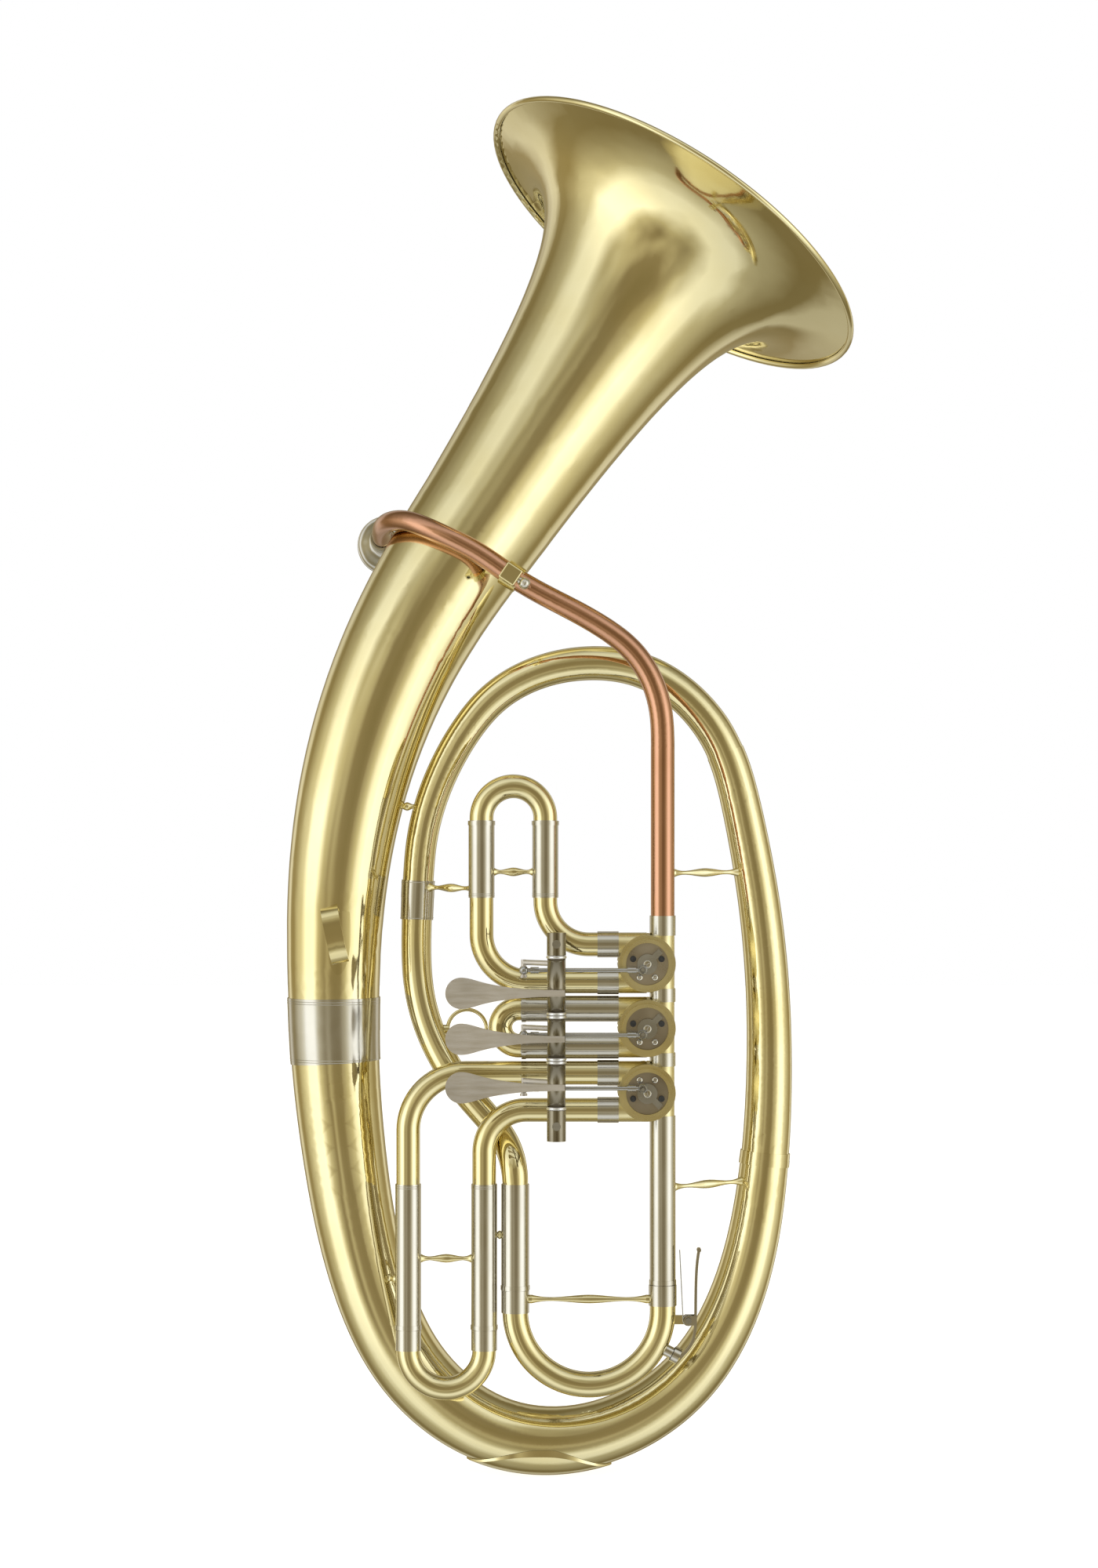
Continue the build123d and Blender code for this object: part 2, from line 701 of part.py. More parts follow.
def slide_3_sleeves():
    low, high = SLIDE_3_SLEEVE
    return slide_sleeves([((x, low), (x, high)) for x in (SLIDE_3_LEFT_X, SLIDE_3_RIGHT_X)])


def main_sleeves():
    left = in_valve_plane((MAIN_LEFT_X, MAIN_LEFT_SLEEVE[0]), (MAIN_LEFT_X, MAIN_LEFT_SLEEVE[1]))
    right = in_valve_plane((WINDWAY_X, MAIN_RIGHT_SLEEVE[0]), (WINDWAY_X, MAIN_RIGHT_SLEEVE[1]))
    left_sleeve = sleeve(*left, outer=MAIN_LEFT_SLEEVE_R, bore=MAIN_BOW_R + MAIN_SLIDE_FIT)
    return group([left_sleeve, sleeve(*right) - casing_room(2)])


def u_path(start, bend_start, bend_middle, bend_end, end):
    bend = ThreePointArc(bend_start, bend_middle, bend_end)
    return Wire([Line(start, bend_start), bend, Line(bend_end, end)])


def upright_bow(left_x, right_x, left_z, right_z, centre_z, turn, outer, bore):
    radius = (right_x - left_x) / 2
    middle_x = (right_x + left_x) / 2
    points = in_valve_plane(
        (left_x, left_z),
        (left_x, centre_z),
        (middle_x, centre_z + turn * radius),
        (right_x, centre_z),
        (right_x, right_z),
    )
    return tube_along(u_path(*points), outer, bore)


def legs(spans, outer=TUBE_R, bore=BORE_R):
    pieces = []
    for start, end in spans:
        first, last = in_valve_plane(start, end)
        pieces.append(ring(first, last, outer, bore))
    return pieces


def slide_1_bow():
    z = SLIDE_1_SLEEVE[1] + SLIDE_1_GAP
    return upright_bow(SLIDE_1_LEFT_X, SLIDE_1_RIGHT_X, z, z, z + 1.2, 1, TUBE_R, BORE_R)


def slide_1_legs():
    z = SLIDE_1_SLEEVE[1] + SLIDE_1_GAP - LEG_OVERLAP
    columns = (SLIDE_1_LEFT_X, SLIDE_1_RIGHT_X)
    return group(legs([((x, SLIDE_1_LEG_END_Z), (x, z)) for x in columns]))


def slide_2_bow():
    x = SLIDE_2_END_X - SLIDE_1_GAP
    turn_x = x - 1.2
    z = VALVE_Z[1]
    points = in_valve_plane(
        (x, z + PORT_RISE),
        (turn_x, z + PORT_RISE),
        (turn_x - PORT_RISE, z),
        (turn_x, z - PORT_RISE),
        (x, z - PORT_RISE),
    )
    return tube_along(u_path(*points), TUBE_R, BORE_R)


def slide_2_legs():
    x = SLIDE_2_END_X - SLIDE_1_GAP + LEG_OVERLAP
    rows = (VALVE_Z[1] - PORT_RISE, VALVE_Z[1] + PORT_RISE)
    return group(legs([((x, z), (KNUCKLE_END_X - 1.0, z)) for z in rows]))


def slide_3_bow():
    z = SLIDE_3_BOW_Z
    return upright_bow(SLIDE_3_LEFT_X, SLIDE_3_RIGHT_X, z, z, SLIDE_3_TURN_Z, -1, TUBE_R, BORE_R)


def slide_3_legs():
    columns = (SLIDE_3_LEFT_X, SLIDE_3_RIGHT_X)
    start = SLIDE_3_BOW_Z + LEG_OVERLAP
    tubes = legs([((x, start), (x, SLIDE_3_LEG_END_Z)) for x in columns])
    low, high = SLIDE_3_COLLAR
    collars = legs([((x, low), (x, high)) for x in columns], SLEEVE_R, SLEEVE_BORE_R)
    return group(tubes + collars)


def main_bow():
    spots = (MAIN_LEFT_X, WINDWAY_X, MAIN_BOW_LEFT_Z, MAIN_BOW_RIGHT_Z, MAIN_BOW_Z)
    return upright_bow(*spots, -1, MAIN_BOW_R, MAIN_BOW_BORE_R)


def main_leg(x, start, end, outer=TUBE_R, bore=BORE_R):
    return legs([((x, start), (x, end))], outer, bore)


def main_legs():
    left_z = MAIN_BOW_LEFT_Z + LEG_OVERLAP
    right_z = MAIN_BOW_RIGHT_Z + LEG_OVERLAP
    left = main_leg(MAIN_LEFT_X, left_z, MAIN_LEFT_LEG_END_Z, MAIN_BOW_R, MAIN_BOW_BORE_R)
    right = main_leg(WINDWAY_X, right_z, MAIN_RIGHT_LEG_END_Z)
    size = (MAIN_LEFT_SLEEVE_R, MAIN_BOW_R + MAIN_SLIDE_FIT)
    left_collar = main_leg(MAIN_LEFT_X, *MAIN_LEFT_COLLAR, *size)
    right_collar = main_leg(WINDWAY_X, *MAIN_RIGHT_COLLAR, *size)
    return group(left + right + left_collar + right_collar)


# ---------------------------------------------------------------- stays
STAY_R = 2.6
STAY_NECK_R = 1.35
STAY_FOOT = 0.04
STAY_NECK_AT = 0.14


def stay(start, end, cutters, belly=STAY_R):
    """Turned brace: slim at the ends, fuller in the middle, with a small round foot at each end."""
    start = Vector(start)
    end = Vector(end)
    gap = (end - start).length
    foot_top = (STAY_R, gap * STAY_FOOT)
    neck = (STAY_NECK_R, gap * STAY_NECK_AT)
    far_neck = (STAY_NECK_R, gap * (1 - STAY_NECK_AT))
    far_foot = (STAY_R, gap * (1 - STAY_FOOT))
    outline = [
        Line((0, 0), (STAY_R, 0)),
        Line((STAY_R, 0), foot_top),
        Spline([foot_top, neck, (belly, gap * 0.5), far_neck, far_foot]),
        Line(far_foot, (STAY_R, gap)),
        Line((STAY_R, gap), (0, gap)),
        Line((0, gap), (0, 0)),
    ]
    body = revolve(Plane.XZ * make_face(outline), axis=Axis.Z)
    body = Plane(origin=start, z_dir=end - start) * body
    for cutter in cutters:
        body -= cutter
    return body


def sleeve_room(x, z, radius=SLEEVE_R):
    return rod((x, VALVE_Y, z - 9), (x, VALVE_Y, z + 9), radius + SOLDER_GAP)


def toward(start, end, inset_start, inset_end):
    """The two points of the line from start to end, each moved in from its end."""
    start = Vector(start)
    end = Vector(end)
    along = (end - start).normalized()
    return start + along * inset_start, end - along * inset_end


SLIDE_1_STAY_Z = 369.0
LOOP_STAY_Z = 359.0
LEAD_STAY_Z = 368.3
MAIN_STAY_Z = 179.8
SLIDE_3_STAY_Z = 137.5
SLIDES_STAY_Z = 151.6
BELL_STAY_Z = 408.0
BOW_STAY_Z = 124.0
STAY_INSET = 6.5


def level_stay(left_x, right_x, z, right_radius=SLEEVE_R):
    """Stay between two upright slide sleeves."""
    ends = toward((left_x, VALVE_Y, z), (right_x, VALVE_Y, z), STAY_INSET, STAY_INSET)
    return stay(*ends, [sleeve_room(left_x, z), sleeve_room(right_x, z, right_radius)])


def loop_stay():
    """From the loop tube's ferrule to the first slide."""
    ferrule_room = rod((-79.9, 0, 349), (-79.3, 0, 369), LOOP_END_R + 0.95)
    slide = (SLIDE_1_LEFT_X, VALVE_Y, LOOP_STAY_Z)
    ends = toward((-79.7, 0, LOOP_STAY_Z), slide, 9, STAY_INSET)
    return stay(*ends, [ferrule_room, sleeve_room(SLIDE_1_LEFT_X, LOOP_STAY_Z)])


def branch_stays():
    """From the leadpipe and from the main slide to the right branch."""
    lead = (WINDWAY_X, VALVE_Y, LEAD_STAY_Z)
    lead_foot = rod((WINDWAY_X, VALVE_Y, 355), (WINDWAY_X, VALVE_Y, 382), TUBE_R + SOLDER_GAP)
    branch_room = cone_along(BRANCH, BRANCH_RADIUS, 8, grow=SOLDER_GAP)
    main = (WINDWAY_X, VALVE_Y, MAIN_STAY_Z)
    main_foot = sleeve_room(WINDWAY_X, MAIN_STAY_Z)
    bow_room = cone_along(BOW, BOW_RADIUS, 4, 0.0, 0.12, grow=SOLDER_GAP)
    return [
        stay(*toward(lead, (124.6, 0, LEAD_STAY_Z), 6, 11), [lead_foot, branch_room]),
        stay(*toward(main, (129.4, 0, 181.5), STAY_INSET, 13.5), [main_foot, bow_room]),
    ]


def bell_stay():
    """From the bell tube to the top bow."""
    tail_room = cone_along(TAIL, TAIL_RADIUS, 6, 0.2, 0.6, grow=SOLDER_GAP)
    crest_room = cone_along(CREST, CREST_RADIUS, 6, 0.05, 0.35, grow=SOLDER_GAP)
    ends = toward((-121.8, 1.4, BELL_STAY_Z), (-72.9, 0, BELL_STAY_Z), 30.5, 8)
    return stay(*ends, [tail_room, crest_room])


def bow_stay():
    """From the bottom bow to the third slide."""
    left_room = cone_along(BOW, BOW_RADIUS, 6, 0.6, 0.85, grow=SOLDER_GAP)
    slide = (SLIDE_3_LEFT_X, VALVE_Y, BOW_STAY_Z)
    ends = toward((-109.8, 0, BOW_STAY_Z), slide, 23.5, STAY_INSET)
    return stay(*ends, [left_room, sleeve_room(SLIDE_3_LEFT_X, BOW_STAY_Z)])


def stays():
    return group(
        [
            loop_stay(),
            level_stay(SLIDE_1_LEFT_X, SLIDE_1_RIGHT_X, SLIDE_1_STAY_Z),
            *branch_stays(),
            level_stay(SLIDE_3_LEFT_X, SLIDE_3_RIGHT_X, SLIDE_3_STAY_Z),
            level_stay(SLIDE_3_RIGHT_X, MAIN_LEFT_X, SLIDES_STAY_Z, MAIN_LEFT_SLEEVE_R),
            bell_stay(),
            bow_stay(),
        ]
    )


MAIN_BRACE_Z = 113.1


def main_brace():
    """Brace across the main tuning slide, also its pull."""
    left = Vector(MAIN_LEFT_X, VALVE_Y, MAIN_BRACE_Z)
    right = Vector(WINDWAY_X, VALVE_Y, MAIN_BRACE_Z)
    cutters = [rod(left - UP * 9, left + UP * 9, MAIN_LEFT_SLEEVE_R + SOLDER_GAP)]
    cutters.append(rod(right - UP * 9, right + UP * 9, MAIN_LEFT_SLEEVE_R + SOLDER_GAP))
    return stay(*toward(left, right, 7, 7), cutters)


# ---------------------------------------------------------------- hand rests
THUMB_RING_GAP = 0.08


def thumb_ring():
    """Round ring beside the loop tube, for the thumb of the playing hand."""
    centre = Vector(-49.5, -10.0, 273.5)
    hoop = Plane(origin=centre, z_dir=(0, 1, 0)) * Torus(11.7, 1.15)
    foot = rod(centre + Vector(-11.0, 0, 0), centre + Vector(-17.0, 0, 0), 2.6)
    hole = rod(centre + Vector(0, -5, 0), centre + Vector(0, 5, 0), 10.7)
    room = cone_along(LOOP, LOOP_RADIUS, 16, 0.4, 0.95, grow=THUMB_RING_GAP)
    return (hoop + (foot - hole)) - room


HOOK_LEAN = -12.0
HOOK_WIDTH = 10.4
HOOK_THICK = 1.9


def hand_hook():
    """Bent strip on an oval plate, on the front of the bell tube, leaning with the hand."""
    column = extrude(front_plane(-126.5, -60, 333.5) * Ellipse(7.6, 26.5), amount=-35)
    plate = column & rod((-130.0, 0, 300.0), (-129.4, 0, 367.0), BELL_START_R + 2.3)
    path = Spline(
        [
            (-128.5, -27.6, 343.0),
            (-128.5, -36.0, 347.5),
            (-128.5, -43.0, 345.0),
            (-128.5, -46.0, 335.0),
            (-128.5, -45.0, 322.0),
            (-128.5, -39.5, 315.0),
        ]
    )
    outline = Rectangle(HOOK_WIDTH, HOOK_THICK)
    section = Plane(origin=path @ 0, x_dir=(1, 0, 0), z_dir=path % 0) * outline
    pivot = Pos(-128.5, 0, 333.5)
    strip = pivot * Rot(0, HOOK_LEAN, 0) * pivot.inverse() * sweep(section, path=path)
    room = cone_along(TAIL, TAIL_RADIUS, 12, 0.0, 0.4, SOLDER_GAP)
    return (plate + strip) - room


# ---------------------------------------------------------------- levers
POST_Z = [327.4, 220.2]
POST_HEAD_SPANS = [(320.7, 334.0), (211.0, 229.3)]
POST_FOOT_Y = -36.0
POST_R = 3.4
POST_COLLAR_R = 5.2
POST_COLLAR_Y = -43.4
POST_HEAD_R = 5.6
AXLE_GAP = 0.04
AXLE_Z = (212.0, 333.0)
PADDLE_BACK_Y = -78.0
PADDLE_THICK = 2.0
BARREL_COLLAR = 1.6
BARREL_COLLAR_STEP = 0.45
BARREL_WALL = 2.4
BARREL_CAVITY_R = 4.2
ARM_R = 1.6
NUT_R = 2.2


def rocker_post(index):
    """Pillar soldered to a crook, with a head bored for the axle and for its lock screw."""
    low, high = POST_HEAD_SPANS[index]
    z = POST_Z[index]
    foot = (AXLE_X, POST_FOOT_Y, z)
    shape = rod(foot, (AXLE_X, AXLE_Y, z), POST_R)
    shape += rod(foot, (AXLE_X, POST_COLLAR_Y, z), POST_COLLAR_R)
    shape += rod((AXLE_X, AXLE_Y, low), (AXLE_X, AXLE_Y, high), POST_HEAD_R)
    shape -= rod((AXLE_X, AXLE_Y, low - 1), (AXLE_X, AXLE_Y, high + 1), AXLE_R + AXLE_GAP)
    shape -= rod((AXLE_X, AXLE_Y - 1, z), (AXLE_X, AXLE_Y - 8, z), 1.55)
    return shape - solid_along(CROOKS[0 if index == 0 else 3], TUBE_R + SOLDER_GAP)


def axle_screw(z):
    """Slotted screw through the front of a post head, that locks the axle."""
    screw = rod((AXLE_X, AXLE_Y - AXLE_R - 0.1, z), (AXLE_X, AXLE_Y - 6.2, z), 1.5)
    screw += rod((AXLE_X, AXLE_Y - 5.7, z), (AXLE_X, AXLE_Y - 7.0, z), 2.5)
    return screw - Pos(AXLE_X, AXLE_Y - 7.0, z) * Box(5.4, 0.9, 0.7)


def rocker_axle():
    low, high = AXLE_Z
    return rod((AXLE_X, AXLE_Y, low), (AXLE_X, AXLE_Y, high), AXLE_R)


def paddle_outline():
    """Drop shape: round at the finger end, then narrowing to the barrel."""
    upper = [(-51.8, 9.2), (-40.0, 6.7), (-24.0, 3.6), (-6.0, 2.1)]
    lower = [(x, -y) for x, y in reversed(upper)]
    return make_face(
        [
            smooth(upper, (1, 0), (1, -0.03)),
            Polyline((-6.0, 2.1), (9.3, 1.8), (9.3, -1.8), (-6.0, -2.1)),
            smooth(lower, (-1, -0.03), (-1, 0)),
            ThreePointArc((-51.8, -9.2), (-61.0, 0), (-51.8, 9.2)),
        ]
    )


def rod_z(index):
    return VALVE_Z[index] + PIN_SIDE[index] * ROD_RISE


def lever(index):
    """Paddle, hinge barrel that hides the spring, and the arm that carries the link's pin."""
    low, high = BARREL_SPANS[index]
    barrel = rod((AXLE_X, AXLE_Y, low), (AXLE_X, AXLE_Y, high), BARREL_R)
    for start in (low, high - BARREL_COLLAR):
        end = (AXLE_X, AXLE_Y, start + BARREL_COLLAR)
        barrel += rod((AXLE_X, AXLE_Y, start), end, BARREL_R + BARREL_COLLAR_STEP)
    cavity_low = (AXLE_X, AXLE_Y, low + BARREL_WALL)
    cavity = rod(cavity_low, (AXLE_X, AXLE_Y, high - BARREL_WALL), BARREL_CAVITY_R)
    hole = rod((AXLE_X, AXLE_Y, low - 1), (AXLE_X, AXLE_Y, high + 1), AXLE_R + AXLE_GAP)
    face = front_plane(0, PADDLE_BACK_Y, PADDLE_Z[index]) * paddle_outline()
    plate = extrude(face, amount=PADDLE_THICK)
    link_z = rod_z(index)
    arm_z = link_z + BALL_R + 1.9
    arm = rod((AXLE_X - 3, AXLE_Y + 3, arm_z), (BALL_X, ROD_Y, arm_z), ARM_R)
    stub = rod((BALL_X, ROD_Y, arm_z + ARM_R), (BALL_X, ROD_Y, link_z - 4.2), STUB_R)
    nut = rod((BALL_X, ROD_Y, link_z - 4.4), (BALL_X, ROD_Y, link_z - 3.0), NUT_R)
    return (barrel + plate + arm) - cavity - hole + stub + nut


def lever_spring(index):
    low, high = BARREL_SPANS[index]
    coil = Helix(pitch=1.9, height=high - low - 8.0, radius=3.15)
    wire = sweep(Plane(origin=coil @ 0, z_dir=coil % 0) * Circle(0.4), path=coil, is_frenet=True)
    return Pos(AXLE_X, AXLE_Y, low + 4.0) * wire


def link(index):
    """Rod between two drilled balls: one on the lever's pin, one on the stop arm's stub."""
    z = rod_z(index)
    far_x = VALVE_X - PIN_RADIUS * sqrt(0.5)
    shape = rod((BALL_X, ROD_Y, z), (far_x, ROD_Y, z), 1.25)
    for x in (BALL_X, far_x):
        shape += Pos(x, ROD_Y, z) * Sphere(BALL_R)
    shape += rod((BALL_X + 4, ROD_Y, z), (BALL_X + 9, ROD_Y, z), 1.9)
    shape += rod((far_x - 9, ROD_Y, z), (far_x - 4, ROD_Y, z), 1.9)
    shape -= rod((BALL_X, ROD_Y, z - 4), (BALL_X, ROD_Y, z + 4), STUB_R + 0.06)
    return shape - rod((far_x, ROD_Y - 4, z), (far_x, ROD_Y + 4, z), 1.9)


# ---------------------------------------------------------------- water key
KEY_ANGLE = -27.0
KEY_PIVOT = (83.4, 100.6)
MAIN_CENTRE_X = (MAIN_LEFT_X + WINDWAY_X) / 2


def key_radial():
    turn = radians(KEY_ANGLE)
    return Vector(cos(turn), 0, sin(turn))


def bow_room():
    radius = (WINDWAY_X - MAIN_LEFT_X) / 2
    hoop = front_plane(MAIN_CENTRE_X, VALVE_Y, MAIN_BOW_Z) * Torus(radius, MAIN_BOW_R + SOLDER_GAP)
    leg_low = (WINDWAY_X, VALVE_Y, MAIN_BOW_Z)
    leg = rod(leg_low, (WINDWAY_X, VALVE_Y, 123), MAIN_LEFT_SLEEVE_R + SOLDER_GAP)
    return hoop, leg


def water_key_nipple():
    centre = Vector(MAIN_CENTRE_X, VALVE_Y, MAIN_BOW_Z)
    hoop = bow_room()[0]
    tube_edge = (WINDWAY_X - MAIN_LEFT_X) / 2 + MAIN_BOW_R
    start = centre + key_radial() * (tube_edge - 2.5)
    end = centre + key_radial() * (tube_edge + 4.0)
    return ring(start, end, 3.6, 2.0) - hoop


def water_key_saddle():
    """Bracket on the bow, with the tube that the key's pin goes through."""
    x, z = KEY_PIVOT
    hoop, leg = bow_room()
    inner_x = WINDWAY_X + 1.6
    shape = Pos((x + inner_x) / 2, VALVE_Y + 1.3, z) * Box(x - inner_x, 3.8, 5.2)
    shape += rod((x, VALVE_Y - 3.2, z), (x, VALVE_Y + 3.2, z), 2.5)
    shape -= rod((x, VALVE_Y - 4, z), (x, VALVE_Y + 4, z), 1.04)
    return shape - hoop - leg


def water_key_pin():
    x, z = KEY_PIVOT
    pin = rod((x, VALVE_Y - 5.4, z), (x, VALVE_Y + 5.4, z), 1.0)
    return pin + rod((x, VALVE_Y - 6.4, z), (x, VALVE_Y - 5.3, z), 1.9)


def water_key_lever():
    """Strip with a thumb end above the pivot and the cork's cup below it."""
    x, z = KEY_PIVOT
    centre = Vector(MAIN_CENTRE_X, VALVE_Y, MAIN_BOW_Z)
    tube_edge = (WINDWAY_X - MAIN_LEFT_X) / 2 + MAIN_BOW_R
    cup_start = centre + key_radial() * (tube_edge + 4.3)
    cup_end = centre + key_radial() * (tube_edge + 8.6)
    cup = rod(cup_start, cup_end, 4.9) - rod(cup_start, cup_start + key_radial() * 3.0, 4.1)
    outer = cup_end
    path = Spline(
        [
            (outer.X + 0.2, VALVE_Y, outer.Z),
            (x + 3.6, VALVE_Y, z - 9.0),
            (x + 4.4, VALVE_Y, z + 2.0),
            (x + 4.6, VALVE_Y, z + 20.0),
            (x + 6.4, VALVE_Y, z + 41.5),
        ]
    )
    section = Plane(origin=path @ 0, x_dir=(0, 1, 0), z_dir=path % 0) * Rectangle(6.0, 1.5)
    strip = sweep(section, path=path)
    tip = Pos(x + 6.4, VALVE_Y, z + 42.0) * rod((0, -3.0, 0), (0, 3.0, 0), 1.3)
    shape = strip + tip + cup
    for side in (-1, 1):
        y = VALVE_Y + side * 4.0
        ear = Pos(x + 1.4, y, z) * Box(6.4, 1.2, 5.6)
        ear += rod((x, y - 0.6, z), (x, y + 0.6, z), 2.8)
        shape += ear
    shape += Pos(x + 4.3, VALVE_Y, z) * Box(1.5, 9.2, 5.6)
    return shape - rod((x, VALVE_Y - 6, z), (x, VALVE_Y + 6, z), 1.05)


def water_key_cork():
    centre = Vector(MAIN_CENTRE_X, VALVE_Y, MAIN_BOW_Z)
    tube_edge = (WINDWAY_X - MAIN_LEFT_X) / 2 + MAIN_BOW_R
    start = centre + key_radial() * (tube_edge + 4.02)
    return rod(start, centre + key_radial() * (tube_edge + 7.25), 4.05)


def water_key_spring():
    """Wire spring: two turns round the saddle's tube and a long leg up beside the slide."""
    x, z = KEY_PIVOT
    y = VALVE_Y - 2.8
    coil = Helix(pitch=0.9, height=1.8, radius=3.15)
    wire = sweep(Plane(origin=coil @ 0, z_dir=coil % 0) * Circle(0.35), path=coil, is_frenet=True)
    place = Plane(origin=(x, y, z), x_dir=(-1, 0, 0), z_dir=(0, 1, 0))
    return place * wire + rod((x - 3.15, y, z), (78.2, y, 143.0), 0.35)


# ---------------------------------------------------------------- the pieces
def pieces():
    nodes = {
        "bell": bell(),
        "rim_wire": rim_wire(),
        "bell_ferrule": bell_ferrule(),
        "bottom_bow": cone_tube(BOW, BOW_RADIUS, 40),
        "bow_guard": bow_guard(),
        "branch_sleeve": branch_sleeve(),
        "right_branch": cone_tube(BRANCH, BRANCH_RADIUS, 10),
        "top_bow": cone_tube(CREST, CREST_RADIUS, 20),
        "loop_ferrule": loop_ferrule(),
        "loop_tube": loop_tube(),
        "leadpipe": leadpipe(),
        "receiver": receiver(),
        "mouthpiece": mouthpiece(),
        "lyre_holder": lyre_holder(),
        "lyre_screw": lyre_screw(),
        "valve_casings": group([valve_casing(index) for index in range(3)]),
        "rotor_bearings": group([rotor_bearing(z) for z in VALVE_Z]),
        "valve_caps": group([valve_cap(z) for z in VALVE_Z]),
        "stop_plates": group([stop_plate(index) for index in range(3)]),
        "stop_corks": group([cork for index in range(3) for cork in stop_corks(index)]),
        "valve_ferrules": group(windway_ferrules() + side_ferrules()),
        "slide_crooks": group([tube_along(path, TUBE_R, BORE_R) for path in CROOKS]),
        "slide_1_sleeves": slide_1_sleeves(),
        "slide_2_sleeves": slide_2_sleeves(),
        "slide_3_sleeves": slide_3_sleeves(),
        "main_sleeves": main_sleeves(),
        "slide_1_bow": slide_1_bow(),
        "slide_1_legs": slide_1_legs(),
        "slide_2_bow": slide_2_bow(),
        "slide_2_legs": slide_2_legs(),
        "slide_3_bow": slide_3_bow(),
        "slide_3_legs": slide_3_legs(),
        "main_bow": main_bow(),
        "main_legs": main_legs(),
        "main_brace": main_brace(),
        "stays": stays(),
        "thumb_ring": thumb_ring(),
        "hand_hook": hand_hook(),
        "rocker_posts": group([rocker_post(0), rocker_post(1)]),
        "rocker_axle": rocker_axle(),
        "axle_screws": group([axle_screw(z) for z in POST_Z]),
        "lever_springs": group([lever_spring(index) for index in range(3)]),
        "water_key_saddle": water_key_saddle(),
        "water_key_nipple": water_key_nipple(),
        "water_key_pin": water_key_pin(),
        "water_key_lever": water_key_lever(),
        "water_key_cork": water_key_cork(),
        "water_key_spring": water_key_spring(),
    }
    for index in range(3):
        number = index + 1
        nodes[f"rotor_{number}"] = rotor(index)
        nodes[f"stop_arm_{number}"] = stop_arm(index)
        nodes[f"lever_{number}"] = lever(index)
        nodes[f"link_{number}"] = link(index)
    return nodes


os.makedirs("parts", exist_ok=True)
for name, shape in pieces().items():
    export_step(shape.moved(Location(TO_ORIGIN)), f"parts/{name}.step")
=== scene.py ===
import json
import math

import bmesh
import bpy
from mathutils import Matrix, Vector


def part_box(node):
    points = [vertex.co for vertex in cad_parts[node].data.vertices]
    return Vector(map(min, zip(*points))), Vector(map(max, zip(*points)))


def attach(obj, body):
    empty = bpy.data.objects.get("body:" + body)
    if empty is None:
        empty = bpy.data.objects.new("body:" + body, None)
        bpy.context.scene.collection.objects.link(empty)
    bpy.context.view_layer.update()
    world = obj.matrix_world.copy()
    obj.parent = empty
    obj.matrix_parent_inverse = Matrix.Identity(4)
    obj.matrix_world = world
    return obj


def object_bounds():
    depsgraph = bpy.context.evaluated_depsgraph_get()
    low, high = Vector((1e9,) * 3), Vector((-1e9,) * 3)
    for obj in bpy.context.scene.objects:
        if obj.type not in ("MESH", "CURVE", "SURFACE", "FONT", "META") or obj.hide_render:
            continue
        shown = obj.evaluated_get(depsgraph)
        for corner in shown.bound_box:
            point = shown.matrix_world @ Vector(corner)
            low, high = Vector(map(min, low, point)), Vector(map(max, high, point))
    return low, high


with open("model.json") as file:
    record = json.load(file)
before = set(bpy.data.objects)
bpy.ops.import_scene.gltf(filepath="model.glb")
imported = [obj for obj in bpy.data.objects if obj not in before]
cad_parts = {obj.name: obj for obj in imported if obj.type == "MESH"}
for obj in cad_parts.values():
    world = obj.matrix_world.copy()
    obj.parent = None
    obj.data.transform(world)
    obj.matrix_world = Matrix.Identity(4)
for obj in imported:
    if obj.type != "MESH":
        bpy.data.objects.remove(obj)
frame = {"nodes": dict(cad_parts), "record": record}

# Looks of an oval B-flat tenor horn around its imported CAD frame. Metres, +Z up, levers face -Y.
CAD_BOX = [[float(v) for v in corner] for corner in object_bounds()]
LOW, HIGH = (Vector(corner) for corner in CAD_BOX)
MIDDLE = (LOW + HIGH) / 2
VALVES = (1, 2, 3)

# Colours of the finishes, linear
BRASS = (0.80, 0.715, 0.42)
COPPER = (0.58, 0.31, 0.19)
NICKEL = (0.61, 0.585, 0.52)
SMOKED = (0.26, 0.23, 0.17)
SATIN = (0.70, 0.665, 0.64)
SILVER = (0.86, 0.87, 0.88)
STEEL = (0.50, 0.50, 0.50)
BLUED = (0.52, 0.47, 0.40)
BRONZE = (0.62, 0.46, 0.25)
RUBBER = 0.02

# Noise scales per metre and bump depths in metres
DRIFT_SCALE = 14.0
HAZE_SCALE = 60.0
GRAIN_SCALE = 1800.0
GRAIN_DEPTH = 0.0002
SPECK_SCALE = 900.0
SPECK_DEPTH = 0.0003
SMOOTHEST = 0.02
COAT_ROUGHNESS = 0.04
RUBBER_ROUGHNESS = 0.62


# ---------------------------------------------------------------- node helpers
def new_material(name):
    material = bpy.data.materials.new(name)
    material.use_nodes = True
    tree = material.node_tree
    return material, tree, tree.nodes["Principled BSDF"]


def noise(tree, scale, detail, stretch=(1, 1, 1)):
    """Noise in the object's own space, in metres, stretched along an axis."""
    place = tree.nodes.new("ShaderNodeTexCoord")
    mapping = tree.nodes.new("ShaderNodeMapping")
    mapping.inputs["Scale"].default_value = stretch
    texture = tree.nodes.new("ShaderNodeTexNoise")
    texture.inputs["Scale"].default_value = scale
    texture.inputs["Detail"].default_value = detail
    tree.links.new(place.outputs["Object"], mapping.inputs["Vector"])
    tree.links.new(mapping.outputs["Vector"], texture.inputs["Vector"])
    return texture


